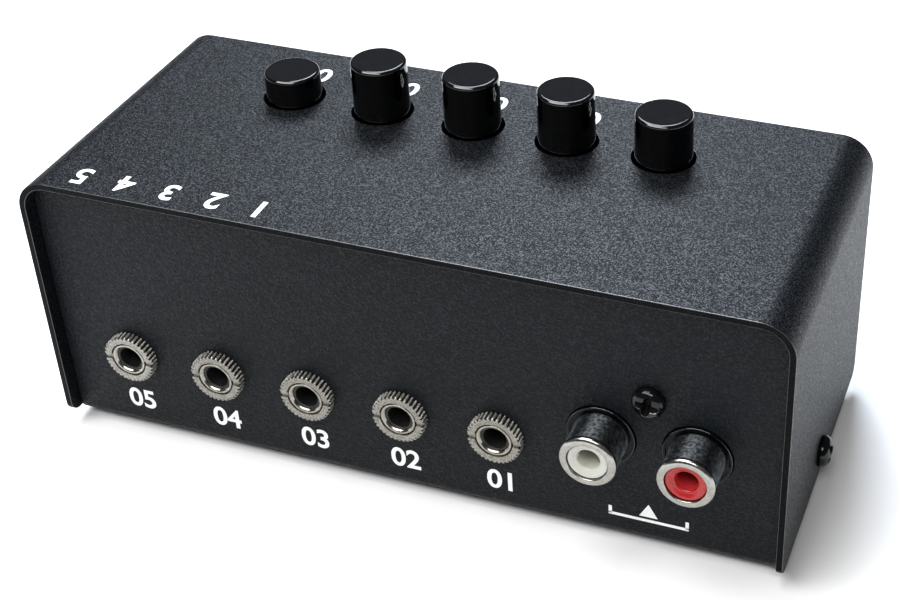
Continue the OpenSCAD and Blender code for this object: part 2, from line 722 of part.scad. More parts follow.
// Each jack has two plain pins and a leaf that runs out of its back and down to the board
module jack_contacts() {
    back_y = rear_inner_y - jack_l;
    leaf_z = jack_axis_z + jack_bore_d / 2 + thread_gap;
    color(bronze) for (i = [1:5]) {
        for (k = [0, 1]) pin(jack_pin_at(i, k), board_top);
        translate([jack_x(i), back_y - leaf_t / 2, 0]) {
            translate([-leaf_w / 2, -leaf_t / 2, leaf_z]) cube([leaf_w, leaf_l + leaf_t, leaf_t]);
            translate([0, 0, board_top]) block(leaf_w, leaf_t, leaf_z + leaf_t - board_top);
            translate([0, 0, board_z - pin_tail]) block(pin_w, leaf_t, board_t + pin_tail);
        }
    }
}

module phono_housing() {
    socket_w = collar_d + 2 * housing_wall;
    tower_w = head_d + 2 * tower_wall;
    tower_l = rear_screw_l + tower_wall;
    slot_w = pin_w + 2 * run_gap;
    slot_h = phono_axis_z - barrel_d / 2 - board_top + 2 * cut;
    color(jet_black) difference() {
        union() {
            translate([-phono_row_x, rear_inner_y - housing_l / 2, board_top])
                block(phono_pitch + socket_w, housing_l, phono_axis_z + socket_w / 2 - board_top);
            translate([-phono_row_x, rear_inner_y - tower_l / 2, board_top])
                block(tower_w, tower_l, rear_screw_z + tower_w / 2 - board_top);
            for (k = [0, 1]) bar_y(phono_x(k), rear_inner_y, phono_axis_z, collar_d, chassis_t + collar_h);
        }
        for (k = [0, 1]) {
            bar_y(phono_x(k), rear_y - barrel_seat, phono_axis_z, barrel_d + 2 * thread_gap, housing_l);
            bar_y(phono_x(k), rear_inner_y - housing_l - cut, phono_axis_z, tail_d + hole_gap, housing_l);
            translate([phono_x(k), phono_pin_at(k, true).y, board_top - cut])
                block(slot_w, slot_w, slot_h);
        }
        bar_y(-phono_row_x, rear_y - rear_screw_l - cut, rear_screw_z, screw_d + 2 * thread_gap,
            rear_screw_l + 2 * cut);
    }
}

module phono_shell(k) {
    back_s = barrel_reach - ring_l;
    front_s = barrel_reach - ring_edge_r;
    inner_r = mouth_d / 2 + ring_edge_r;
    outer_r = ring_d / 2 - ring_edge_r;
    color(nickel) out_of_panel(phono_x(k), phono_axis_z) rotate_extrude($fn = 96) {
        translate([barrel_d / 2 - barrel_wall, -barrel_seat]) square([barrel_wall, barrel_seat + back_s]);
        translate([mouth_d / 2, back_s]) square([(ring_d - mouth_d) / 2, front_s - back_s]);
        translate([inner_r, back_s]) square([outer_r - inner_r, ring_l]);
        for (r = [inner_r, outer_r]) translate([r, front_s]) circle(ring_edge_r, $fn = 24);
    }
}

// An insert fills the barrel, and narrows from the clip's room to the pin's bore
module phono_insert(k) {
    body_r = barrel_d / 2 - barrel_wall - thread_gap;
    rim_r = mouth_d / 2 - thread_gap;
    clip_room_r = pin_bore_d / 2 + clip_wall + thread_gap;
    bore_r = pin_bore_d / 2;
    face_s = barrel_reach - insert_sink;
    dish_s = face_s - insert_dish;
    color(k == 0 ? plug_white : plug_red) out_of_panel(phono_x(k), phono_axis_z)
        rotate_extrude($fn = 96) polygon([
            [clip_room_r, -barrel_seat], [body_r, -barrel_seat], [body_r, barrel_reach - ring_l],
            [rim_r, barrel_reach - ring_l], [rim_r, face_s], [rim_r - insert_rim, face_s],
            [bore_r + insert_sunk, dish_s], [bore_r, dish_s - insert_sunk],
            [bore_r, clip_reach], [clip_room_r, clip_reach]]);
}

module phono_contacts() {
    clip_r = pin_bore_d / 2 + clip_wall;
    clip_l = barrel_seat + clip_reach;
    back = chassis_t + housing_l;
    color(bronze) for (k = [0, 1]) {
        out_of_panel(phono_x(k), phono_axis_z) {
            difference() {
                translate([0, 0, -barrel_seat]) cylinder(r = clip_r, h = clip_l);
                translate([0, 0, clip_wall - barrel_seat]) {
                    cylinder(d = pin_bore_d, h = clip_l);
                    block(clip_slit, 2 * clip_r + cut, clip_l);
                }
            }
            translate([0, 0, -back]) cylinder(d = tail_d, h = back - barrel_seat);
        }
        translate([phono_x(k), phono_pin_at(k, false).y, board_z - pin_tail])
            block(pin_w, tail_strip_t, phono_axis_z + tail_d / 2 - board_z + pin_tail);
        pin(phono_pin_at(k, true), phono_axis_z - barrel_d / 2 - thread_gap);
    }
}

module rear_screw() {
    color(jet_black) out_of_panel(-phono_row_x, rear_screw_z) pan_screw(rear_screw_l);
}

top_cover();
chassis();
rubber_feet();
cover_screws();
board_standoffs();
board_screws();
main_board();
switch_frame();
latch_bar();
latch_spring();
switch_pins();
for (i = [1:5]) {
    switch_body(i);
    plunger(i);
    contact_bridge(i);
    return_spring(i);
    button_cap(i);
    jack_body(i);
    jack_bushing(i);
    jack_nut(i);
}
jack_contacts();
phono_housing();
phono_shell(0);  // phono_shell_white
phono_shell(1);  // phono_shell_red
phono_insert(0);  // phono_insert_white
phono_insert(1);  // phono_insert_red
phono_contacts();
rear_screw();
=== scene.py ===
import math

import bmesh
import bpy
from mathutils import Matrix, Vector


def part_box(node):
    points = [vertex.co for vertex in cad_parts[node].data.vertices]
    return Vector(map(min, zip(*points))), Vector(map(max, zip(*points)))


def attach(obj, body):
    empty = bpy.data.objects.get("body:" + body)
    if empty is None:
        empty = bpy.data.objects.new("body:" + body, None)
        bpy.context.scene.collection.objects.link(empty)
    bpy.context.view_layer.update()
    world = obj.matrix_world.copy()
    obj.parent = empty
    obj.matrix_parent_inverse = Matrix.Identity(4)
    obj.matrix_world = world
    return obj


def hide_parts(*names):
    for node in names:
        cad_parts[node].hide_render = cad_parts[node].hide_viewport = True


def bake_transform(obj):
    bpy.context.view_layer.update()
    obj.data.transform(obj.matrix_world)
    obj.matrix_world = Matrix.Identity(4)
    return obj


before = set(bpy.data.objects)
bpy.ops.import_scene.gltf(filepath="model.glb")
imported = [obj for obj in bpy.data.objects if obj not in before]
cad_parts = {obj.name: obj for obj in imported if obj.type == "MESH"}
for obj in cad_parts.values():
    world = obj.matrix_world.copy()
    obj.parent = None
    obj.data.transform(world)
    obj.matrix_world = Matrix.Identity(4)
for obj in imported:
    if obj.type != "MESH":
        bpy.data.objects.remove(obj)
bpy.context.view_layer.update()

# Lengths are in metres, as the frame is; MM turns a size in millimetres into metres
MM = 0.001
FIVE = range(1, 6)
rear_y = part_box("chassis")[1].y
top_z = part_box("top_cover")[1].z


def middle(node):
    """Centre of a CAD node's box."""
    low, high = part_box(node)
    return (low + high) / 2


# Finishes


def colour(code):
    """An sRGB hex colour as linear RGBA."""
    values = [int(code[k:k + 2], 16) / 255 for k in (1, 3, 5)]
    return (*[v / 12.92 if v <= 0.04045 else ((v + 0.055) / 1.055) ** 2.4 for v in values], 1)


def add(tree, kind, inputs=None, **settings):
    """Adds a node: settings are its own, and each input is a value or the socket to link from."""
    node = tree.nodes.new(kind)
    for name, value in settings.items():
        setattr(node, name, value)
    for name, value in (inputs or {}).items():
        if isinstance(value, bpy.types.NodeSocket):
            tree.links.new(value, node.inputs[name])
        else:
            node.inputs[name].default_value = value
    return node


def finish(name, **shader):
    """A material with its shader's plain values set; returns it, its tree, its shader and Object coordinates."""
    made = bpy.data.materials.new(name)
    made.use_nodes = True
    tree = made.node_tree
    surface = tree.nodes["Principled BSDF"]
    for socket, value in shader.items():
        surface.inputs[socket.replace("_", " ")].default_value = value
    return made, tree, surface, add(tree, "ShaderNodeTexCoord").outputs["Object"]


# Parts of a noise's range that are stretched to 0..1: nearly all of it; its peaks, where grit stands out of a coat
# and is painted paler as a glint; and its lower end, where ink is pitted
NOISE_SPREAD = {"From Min": 0.3, "From Max": 0.7}
GRIT_PEAKS = {"From Min": 0.47, "From Max": 0.68}
INK_PITS = {"From Min": 0.25, "From Max": 0.42}

# Shares of a finish's roughness between which its gloss wanders
PLASTIC_GLOSS = (0.8, 1.25)
METAL_GLOSS = (0.7, 1.35)

# Sizes of the patterns in millimetres; those that differ from coat to coat or metal to metal are given with each
GRIT_H = 0.03
EDGE_PATCH = 1.5
FLOW_MARK = 1.2
MOULD_SKIN = 0.15
OIL_PATCH = 0.5
BOARD_WEAVE = 0.8
INK_PIT = 0.25


def powder_coat(name, tones_to_painted_glint, gloss, glints, grit, peel, peel_depth):
    """Polyester powder coat baked on steel: near black with a dull sheen. Its grit glints where the light rakes it,
    through a raised specular level. It is also painted as pale specks in the base colour all over, a painted glint.
    Its orange peel shows as short worm-like ripples. Both are drawn about twice as coarse as real, because finer ones
    don't show. Each of tone, glint and gloss is given as a pair: tone and glint from the hollows to the grit, gloss
    from the ripples' valleys to their crests; the paler tone at the grit is the painted glint."""
    made, tree, surface, place = finish(name)
    specks = add(tree, "ShaderNodeTexNoise", {"Vector": place, "Scale": 1 / grit, "Detail": 1.0}).outputs["Fac"]
    lit = add(tree, "ShaderNodeMapRange", {"Value": specks, **GRIT_PEAKS}).outputs[0]
    # The paler tone at the grit peaks is a painted glint
    tone = add(tree, "ShaderNodeMix", {
        "Factor": lit, 6: colour(tones_to_painted_glint[0]), 7: colour(tones_to_painted_glint[1])}, data_type="RGBA").outputs[2]
    shine = add(tree, "ShaderNodeMapRange", {"Value": lit, "To Min": glints[0], "To Max": glints[1]}).outputs[0]
    ripples = add(tree, "ShaderNodeTexNoise", {
        "Vector": place, "Scale": 1 / peel, "Detail": 1.0, "Distortion": 1.2}).outputs["Fac"]
    rough = add(tree, "ShaderNodeMapRange", {
        "Value": ripples, **NOISE_SPREAD, "To Min": gloss[0], "To Max": gloss[1]}).outputs[0]
    ripple_bump = add(tree, "ShaderNodeBump", {"Height": ripples, "Distance": peel_depth, "Strength": 1.0}).outputs[0]
    grit_bump = add(tree, "ShaderNodeBump", {
        "Height": specks, "Distance": GRIT_H * MM, "Strength": 1.0, "Normal": ripple_bump}).outputs[0]
    for socket, value in (("Base Color", tone), ("Specular IOR Level", shine), ("Roughness", rough),
                          ("Normal", grit_bump)):
        tree.links.new(value, surface.inputs[socket])
    return made


def thin_coat():
    """The same coat where it is stretched over a sharp edge: smooth and glossy, so that it draws a bright line."""
    made, tree, surface, place = finish("powder_coat_edge", Roughness=0.18, Specular_IOR_Level=1.0)
    thin = add(tree, "ShaderNodeTexNoise", {
        "Vector": place, "Scale": 1 / (EDGE_PATCH * MM), "Detail": 2.0}).outputs["Fac"]
    tone = add(tree, "ShaderNodeMix", {"Factor": thin, 6: colour("#0b0b0d"), 7: colour("#17181b")}, data_type="RGBA")
    tree.links.new(tone.outputs[2], surface.inputs["Base Color"])
    return made


def moulded(name, dark, light, roughness, skin_depth=0.002 * MM, shine=0.5):
    """Injection-moulded plastic or rubber: one colour through and through, with flow marks that are a little
    uneven in gloss and the faint skin that the mould's steel leaves."""
    made, tree, surface, place = finish(name, Specular_IOR_Level=shine)
    flow = add(tree, "ShaderNodeTexNoise", {
        "Vector": place, "Scale": 1 / (FLOW_MARK * MM), "Detail": 3.0}).outputs["Fac"]
    skin = add(tree, "ShaderNodeTexNoise", {"Vector": place, "Scale": 1 / (MOULD_SKIN * MM)}).outputs["Fac"]
    tone = add(tree, "ShaderNodeMix", {"Factor": flow, 6: colour(dark), 7: colour(light)}, data_type="RGBA")
    glossiest, dullest = (roughness * share for share in PLASTIC_GLOSS)
    gloss = add(tree, "ShaderNodeMapRange", {
        "Value": flow, **NOISE_SPREAD, "To Min": glossiest, "To Max": dullest})
    bump = add(tree, "ShaderNodeBump", {"Height": skin, "Distance": skin_depth, "Strength": 1.0})
    tree.links.new(tone.outputs[2], surface.inputs["Base Color"])
    tree.links.new(gloss.outputs[0], surface.inputs["Roughness"])
    tree.links.new(bump.outputs[0], surface.inputs["Normal"])
    return made


def metal(name, dark, light, roughness, lump, depth, brushed=0.0):
    """Plated, drawn or blackened metal: lumps of slightly different tone and gloss, from dull to bright. Brushed
    marks that run round the piece's Y axis spread each highlight along that axis."""
    made, tree, surface, place = finish(name, Metallic=1.0, Anisotropic=brushed, Anisotropic_Rotation=0.25)
    if brushed:
        around = add(tree, "ShaderNodeTangent", direction_type="RADIAL", axis="Y").outputs[0]
        tree.links.new(around, surface.inputs["Tangent"])
    lumps = add(tree, "ShaderNodeTexNoise", {"Vector": place, "Scale": 1 / lump, "Detail": 3.0}).outputs["Fac"]
    spread = add(tree, "ShaderNodeMapRange", {"Value": lumps, **NOISE_SPREAD}).outputs[0]
    tone = add(tree, "ShaderNodeMix", {"Factor": spread, 6: colour(dark), 7: colour(light)}, data_type="RGBA")
    glossiest, dullest = (roughness * share for share in METAL_GLOSS)
    gloss = add(tree, "ShaderNodeMapRange", {
        "Value": lumps, **NOISE_SPREAD, "To Min": glossiest, "To Max": dullest})
    bump = add(tree, "ShaderNodeBump", {"Height": lumps, "Distance": depth, "Strength": 1.0})
    tree.links.new(tone.outputs[2], surface.inputs["Base Color"])
    tree.links.new(gloss.outputs[0], surface.inputs["Roughness"])
    tree.links.new(bump.outputs[0], surface.inputs["Normal"])
    return made


def black_oxide_steel():
    """Oiled black oxide on steel: near black, with a wet gloss that catches each light as a hard small highlight."""
    made, tree, surface, place = finish("black_oxide_steel", Specular_IOR_Level=0.3)
    oil = add(tree, "ShaderNodeTexNoise", {
        "Vector": place, "Scale": 1 / (OIL_PATCH * MM), "Detail": 2.0}).outputs["Fac"]
    tone = add(tree, "ShaderNodeMix", {"Factor": oil, 6: colour("#040405"), 7: colour("#101012")}, data_type="RGBA")
    gloss = add(tree, "ShaderNodeMapRange", {"Value": oil, "To Min": 0.05, "To Max": 0.13})
    tree.links.new(tone.outputs[2], surface.inputs["Base Color"])
    tree.links.new(gloss.outputs[0], surface.inputs["Roughness"])
    return made


def solder_mask():
    """Green solder mask over glass-fibre board: glossy, with the weave just showing through."""
    made, tree, surface, place = finish("solder_mask", Roughness=0.3)
    weave = add(tree, "ShaderNodeTexBrick", {"Vector": place, "Scale": 1 / (BOARD_WEAVE * MM)}).outputs["Fac"]
    tone = add(tree, "ShaderNodeMix", {"Factor": weave, 6: colour("#1f5a38"), 7: colour("#2f7349")}, data_type="RGBA")
    bump = add(tree, "ShaderNodeBump", {"Height": weave, "Distance": 0.01 * MM, "Strength": 1.0})
    tree.links.new(tone.outputs[2], surface.inputs["Base Color"])
    tree.links.new(bump.outputs[0], surface.inputs["Normal"])
    return made


def screen_print():
    """White two-part ink, screen printed: matt and thin, so the coat's grit pits it a little."""
    made, tree, surface, place = finish("screen_print_white", Roughness=0.55)
    pits = add(tree, "ShaderNodeTexNoise", {"Vector": place, "Scale": 1 / (INK_PIT * MM)}).outputs["Fac"]
    cover = add(tree, "ShaderNodeMapRange", {"Value": pits, **INK_PITS}).outputs[0]
    tone = add(tree, "ShaderNodeMix", {"Factor": cover, 6: colour("#c9cacb"), 7: colour("#f6f6f6")}, data_type="RGBA")
    tree.links.new(tone.outputs[2], surface.inputs["Base Color"])
    return made


# Powder coat, in copies of one coat. On the cover the grit is painted as pale specks, a painted glint, beside its
# real glints where the light rakes it. On the tray's rear panel the specks are nearly even and the orange peel shows.
# The sheet's cut faces are painted darker and duller, a painted shade along the cover's edge. Over a sharp edge the
# coat pulls thin, smooth and glossy.
# The cover's copy: pale specks at the grit, a painted glint
coat_gritty = powder_coat("powder_coat_gritty", tones_to_painted_glint=("#060709", "#181d22"), gloss=(0.54, 0.41),
                          glints=(0.065, 0.4), grit=0.22 * MM, peel=0.5 * MM, peel_depth=0.05 * MM)
coat_rippled = powder_coat("powder_coat_rippled", tones_to_painted_glint=("#0f1215", "#14181c"), gloss=(0.52, 0.38),
                           glints=(0.1, 0.17), grit=0.3 * MM, peel=0.6 * MM, peel_depth=0.14 * MM)
# Painted shade: the cut faces' copy of the coat is darker and duller than the cover's, for the dark band along its
# edge
coat_cut_painted_shade = powder_coat("powder_coat_cut_face", tones_to_painted_glint=("#050607", "#0a0b0d"), gloss=(0.55, 0.45),
                       glints=(0.05, 0.08), grit=0.3 * MM, peel=0.6 * MM, peel_depth=0.05 * MM)
coat_edge = thin_coat()
print_white = screen_print()

# Nickel plate: satin and a little lumpy on the nuts' faces; painted pale on their rolled ridges, a painted highlight,
# and painted dark in the gaps between them, a painted shade; clear on the turned sleeves and the phono rings; on the
# drawn barrels brushed round them and painted dark, a painted reflection of the dark panel they mirror.
satin_nickel = metal("satin_nickel", "#5a5752", "#b0ada5", 0.4, 0.2 * MM, 0.02 * MM)
turned_nickel = metal("turned_nickel", "#87847b", "#aaa69b", 0.2, 0.5 * MM, 0.006 * MM)
bright_nickel = metal("bright_nickel", "#94928c", "#aaa8a2", 0.2, 0.6 * MM, 0.006 * MM)
# Painted reflection: the barrels' copy of nickel is darker than the rings', for the dark panel they mirror
barrel_nickel_painted_dark = metal("barrel_nickel_painted_dark", "#45494c", "#6a6f73", 0.48, 0.5 * MM, 0.003 * MM, brushed=0.9)
# Painted highlight on the knurl's ridges and painted shade in its gaps: lit and shaded copies of the nuts' nickel
ridge_nickel_painted_highlight = metal("ridge_nickel_painted_highlight", "#a3a09a", "#cfccc4", 0.5, 0.3 * MM, 0.006 * MM, brushed=0.8)
gap_nickel_painted_shade = metal("nickel_painted_shade_in_the_gaps", "#4c4a45", "#726e68", 0.5, 0.3 * MM, 0.006 * MM)

# Screws: oiled black heads; a recess painted near black and dull, a painted shade; and bare steel where the driver
# has rubbed its rim.
black_oxide = black_oxide_steel()
# Painted shade in the screw recesses: a near black, dull copy of the heads' finish
recess_painted_shade = moulded("black_oxide_painted_shade_in_recess", "#020202", "#050505", 0.6, shine=0.1)
worn_steel = metal("steel_worn_by_the_driver", "#4a4c4e", "#7a7c7e", 0.35, 0.2 * MM, 0.004 * MM)

# Inside: grey zinc plate, bright spring wire, golden bronze contacts and a green board.
zinc = metal("zinc_plated_steel", "#9b9fa3", "#bfc2c4", 0.35, 1.5 * MM, 0.004 * MM)
spring_steel = metal("drawn_spring_steel", "#7d8186", "#9a9ea3", 0.3, 0.3 * MM, 0.003 * MM)
bronze = metal("phosphor_bronze", "#a8834f", "#bf9a63", 0.3, 0.6 * MM, 0.003 * MM)
mask = solder_mask()

# Plastics: the caps are polished black that mirrors the lights; on top they are painted paler, a painted sheen, and
# made duller. The sockets' collars shine a little and the mouldings behind the panel are matt. The inserts are glossy
# in front and matt in their bores, whose copies of the plastics are tinted as painted light inside the holes.
# Plungers are ivory acetal and the feet dull black rubber.
gloss_black = moulded("abs_gloss_black", "#010101", "#020202", 0.05, 0.0005 * MM, shine=0.8)
# Painted sheen: the cap tops' copy is paler than the caps' black, standing in for the light their flat tops mirror
cap_top_painted_sheen = moulded("abs_black_cap_top_painted_sheen", "#121315", "#17181a", 0.06, 0.0005 * MM, shine=0.2)
collar_black = moulded("pbt_black", "#040405", "#08080a", 0.22, shine=0.13)
matt_black = moulded("pbt_matt_black", "#101011", "#19191a", 0.5, 0.006 * MM)
plug_white = moulded("abs_white", "#b9b9b0", "#c4c4bc", 0.3)
plug_red = moulded("abs_red", "#9c1a1b", "#aa2221", 0.28)
# Painted light in the phono bores: matt copies of the inserts' plastics, tinted for the light inside the holes, the
# white one more olive and the red one brighter
bore_white_painted_light = moulded("abs_white_bore_painted_light", "#bcbcae", "#c8c8ba", 0.5)
bore_red_painted_light = moulded("abs_red_bore_painted_light", "#b3262a", "#bd2c30", 0.5)
acetal = moulded("acetal_ivory", "#e2dccb", "#ece7da", 0.4)
rubber = moulded("foot_rubber", "#1b1b1d", "#26262a", 0.8, 0.02 * MM)

# Making


def soften(bm, width, sharper_than=30, segments=2):
    """Rounds every edge that is sharper than an angle; returns the new faces."""
    edges = [e for e in bm.edges if e.is_manifold and e.calc_face_angle() > math.radians(sharper_than)]
    return bmesh.ops.bevel(bm, geom=edges, offset=width, offset_type="OFFSET", affect="EDGES", segments=segments,
                           profile=0.5, material=-1, clamp_overlap=True)["faces"]


def turned(outline, steps=96):
    """A solid turned about Z from a closed outline of (radius, height) points in millimetres."""
    bm = bmesh.new()
    points = [bm.verts.new((r * MM, 0, z * MM)) for r, z in outline]
    edges = [bm.edges.new(pair) for pair in zip(points, points[1:])]
    if outline[0][0] > 0 or outline[-1][0] > 0:
        edges.append(bm.edges.new((points[-1], points[0])))
    bmesh.ops.spin(bm, geom=points + edges, axis=(0, 0, 1), cent=(0, 0, 0), angle=math.tau, steps=steps,
                   use_merge=True)
    bmesh.ops.remove_doubles(bm, verts=bm.verts, dist=0.0005 * MM)
    bmesh.ops.recalc_face_normals(bm, faces=bm.faces)
    return bm


def arc(centre, wide, tall, start, end, steps):
    """Points on an elliptic arc, in degrees, as (radius, height) pairs."""
    turns = [math.radians(start + (end - start) * k / steps) for k in range(steps + 1)]
    return [(centre[0] + wide * math.cos(t), centre[1] + tall * math.sin(t)) for t in turns]


def cad_copy(node):
    """A copy of a CAD node's mesh, merged, with the triangles of each flat face joined."""
    bm = bmesh.new()
    bm.from_mesh(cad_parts[node].data)
    bmesh.ops.remove_doubles(bm, verts=bm.verts, dist=0.001 * MM)
    bmesh.ops.dissolve_limit(bm, angle_limit=math.radians(0.1), verts=bm.verts, edges=bm.edges)
    return bm


def put(bm, matrix):
    """Moves a whole bmesh."""
    bmesh.ops.transform(bm, matrix=matrix, verts=bm.verts)
    return bm


def joined(parts):
    """Several bmeshes as one."""
    whole = bmesh.new()
    for part in parts:
        mesh = bpy.data.meshes.new("part")
        part.to_mesh(mesh)
        part.free()
        whole.from_mesh(mesh)
        bpy.data.meshes.remove(mesh)
    return whole


def brick(width, depth, height, centre):
    """A box of sizes in metres about a centre."""
    bm = bmesh.new()
    bmesh.ops.create_cube(bm, size=1, matrix=Matrix.Translation(centre) @ Matrix.Diagonal((width, depth, height, 1)))
    return bm


def out_of_panel(node):
    """Turns +Z to point out of the rear panel and moves the origin to a node's axis on its face."""
    centre = middle(node)
    return Matrix.Translation((centre.x, rear_y, centre.z)) @ Matrix.Rotation(-math.pi / 2, 4, "X")


def dressed(name, bm, material, nodes, smoother_than=35):
    """Makes a bmesh a piece that stands for its CAD nodes."""
    mesh = bpy.data.meshes.new(name)
    bm.to_mesh(mesh)
    bm.free()
    mesh.shade_smooth()
    mesh.set_sharp_from_angle(angle=math.radians(smoother_than))
    mesh.materials.append(material)
    made = bpy.data.objects.new(name, mesh)
    bpy.context.scene.collection.objects.link(made)
    if nodes:
        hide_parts(*nodes)
    return made


def piece(name, bm, material, body, nodes, smoother_than=35):
    """A dressed piece that rides on a body."""
    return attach(dressed(name, bm, material, nodes, smoother_than), body)


def carve(made, cutter_bm, smoother_than=35):
    """Cuts a closed shape out of a piece. The cutter's faces keep their material indexes, so each cut wall takes
    the piece's own finish of that index."""
    tool_mesh = bpy.data.meshes.new("cutter")
    cutter_bm.to_mesh(tool_mesh)
    cutter_bm.free()
    for material in made.data.materials:
        tool_mesh.materials.append(material)
    tool = bpy.data.objects.new("cutter", tool_mesh)
    bpy.context.scene.collection.objects.link(tool)
    cut = made.modifiers.new("cut", "BOOLEAN")
    cut.object = tool
    cut.solver = "EXACT"
    shaped = bpy.data.meshes.new_from_object(made.evaluated_get(bpy.context.evaluated_depsgraph_get()))
    made.modifiers.clear()
    old = made.data
    made.data = shaped
    bpy.data.meshes.remove(old)
    shaped.name = made.name
    shaped.set_sharp_from_angle(angle=math.radians(smoother_than))
    bpy.data.objects.remove(tool)
    bpy.data.meshes.remove(tool_mesh)


# Case

COVER_EDGE_R = 0.36
TRAY_EDGE_R = 0.18
CUT_FACING = 0.9
ON_FLAT, ON_EDGE, ON_CUT = range(3)


def folded_sheet(node, name, edge_r, flat_coat, cut_shade_coat=None):
    """A folded sheet with its edges rounded, and its flat faces shaded as flat up to the bends. Where a coat for them
    is given, the cut faces at its front and rear wear it; the cover's is painted darker and duller, a painted shade."""
    sheet = cad_copy(node)
    rounded = soften(sheet, edge_r * MM, segments=3)
    for face in sheet.faces:
        face.material_index = ON_CUT if cut_shade_coat and abs(face.normal.y) > CUT_FACING else ON_FLAT
    for face in rounded:
        face.material_index = ON_EDGE
    made = piece(name, sheet, flat_coat, "case", [node])
    made.data.materials.append(coat_edge)
    if cut_shade_coat:
        made.data.materials.append(cut_shade_coat)
    made.modifiers.new("even_shading", "WEIGHTED_NORMAL").keep_sharp = True


folded_sheet("top_cover", "cover_sheet", COVER_EDGE_R, coat_gritty, coat_cut_painted_shade)
folded_sheet("chassis", "chassis_tray", TRAY_EDGE_R, coat_rippled)

FOOT_R = 4
FOOT_H = 1.5
FOOT_DISH = 0.15


def foot_pads():
    """Four stick-on feet: a taper with a rounded lower edge and a shallow dish underneath."""
    low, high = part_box("rubber_feet")
    outline = [(0, FOOT_DISH), (2.2, FOOT_DISH), (2.6, 0), *arc((3.2, 0.4), 0.4, 0.4, -90, -10, 4),
               (FOOT_R, FOOT_H), (0, FOOT_H)]
    feet = []
    for x in (low.x + FOOT_R * MM, high.x - FOOT_R * MM):
        for y in (low.y + FOOT_R * MM, high.y - FOOT_R * MM):
            foot = turned(outline, steps=48)
            feet.append(put(foot, Matrix.Translation((x, y, 0))))
    return joined(feet)


piece("foot_pads", foot_pads(), rubber, "case", ["rubber_feet"])

# Screws

HEAD_R = 2.45
HEAD_H = 1.8
DOME_FALL = 0.08
THREAD_R = 1.3
THREAD_PITCH = 0.45
THREAD_DEPTH = 0.2
FIRST_GROOVE = 0.3
SIDE_SCREW_L = 5
PANEL_SCREW_L = 7

# The recess in plan: the reach of its arms and of its waist. Its walls rise through levels of (height above the
# dome, share of the full width), and the first level is the floor.
RECESS_R = 1.8
RECESS_WAIST = 0.94
RECESS_FLOOR = 0.45
RECESS_TOP = 2.5
RECESS_LEVELS = ((None, 0.35), (-0.1, 0.97), (0.1, 1.11))
# Index of the recess's painted shade
IN_RECESS = 1

# Pan head from the middle of its dome to its seat, as (radius, height)
HEAD = ((0, HEAD_H), (0.7, 1.78), (1.3, 1.69), (1.75, 1.52), (2.1, 1.28), (2.32, 0.98), (2.43, 0.65),
        (HEAD_R, 0.35), (2.4, 0.1), (2.3, 0))


def pan_screw(length):
    """Pan head with a domed top and rounded rim, over a thread of separate grooves."""
    grooves = []
    root = THREAD_R - THREAD_DEPTH
    for k in range(int((length - 2 * FIRST_GROOVE) / THREAD_PITCH)):
        z = -FIRST_GROOVE - THREAD_PITCH * k
        grooves += [(THREAD_R, z), (root, z - 0.2), (root, z - 0.25)]
    tip = [(THREAD_R - 0.25, -length + 0.1), (THREAD_R - 0.4, -length), (0, -length)]
    return turned([*HEAD, (THREAD_R, 0), *grooves, *tip], steps=64)


def cross_recess(turn):
    """Cutter for a cross recess: four arms with hollow flanks, narrower at the floor and flared at the surface.
    Its walls' material indexes follow their levels: the recess's painted shade, then the finish of the worn flare."""
    bm = bmesh.new()
    bmesh.ops.create_circle(bm, segments=96, radius=1)
    edges = list(bm.edges)
    first = edges
    for level, (above_dome, spread) in enumerate(RECESS_LEVELS):
        if level:
            made = bmesh.ops.extrude_edge_only(bm, edges=edges)["geom"]
            points = [g for g in made if isinstance(g, bmesh.types.BMVert)]
            edges = [g for g in made if isinstance(g, bmesh.types.BMEdge)]
            for wall in (g for g in made if isinstance(g, bmesh.types.BMFace)):
                wall.material_index = level
        else:
            points = list(bm.verts)
        for point in points:
            angle = math.atan2(point.co.y, point.co.x)
            arm = math.cos(2 * (angle - turn)) ** 2
            r = (RECESS_WAIST + (RECESS_R - RECESS_WAIST) * arm) * spread
            height = RECESS_FLOOR if above_dome is None else HEAD_H - DOME_FALL * r * r + above_dome
            point.co = (r * MM * math.cos(angle), r * MM * math.sin(angle), height * MM)
    for loop, height in ((first, RECESS_FLOOR), (edges, RECESS_TOP)):
        centre = bm.verts.new((0, 0, height * MM))
        for edge in loop:
            bm.faces.new((*edge.verts, centre)).material_index = IN_RECESS
    bmesh.ops.recalc_face_normals(bm, faces=bm.faces)
    return bm


def screws(name, node, seats, length, turn):
    """One piece with a screw at each seat, a matrix that stands the screw's +Z out of the sheet. The recesses are
    turned by an angle in degrees."""
    made = piece(name, joined([put(pan_screw(length), seat) for seat in seats]), black_oxide, "case", [node])
    made.data.materials.append(recess_painted_shade)
    made.data.materials.append(worn_steel)
    carve(made, joined([put(cross_recess(math.radians(turn)), seat) for seat in seats]))


side_screw = middle("cover_screws")
side_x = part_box("top_cover")[1].x
screws("side_screws", "cover_screws", [
    Matrix.Translation((side * side_x, side_screw.y, side_screw.z)) @ Matrix.Rotation(side * math.pi / 2, 4, "Y")
    for side in (-1, 1)], SIDE_SCREW_L, turn=25)
screws("panel_screw", "rear_screw", [out_of_panel("rear_screw")], PANEL_SCREW_L, turn=-11)

# Push buttons

CAP_TOP_R = 4.28
CAP_EDGE_R = 0.5
CAP_SHOULDER = 0.1
CAP_WALL = 0.9
CAP_ROOF = 2.0
CAP_BOSS_R = 2.75
CAP_TOP_FACING = 0.95
CAP_SMOOTHER_THAN = 25
SOCKET_W = 3.3
SOCKET_OVERCUT = 0.01


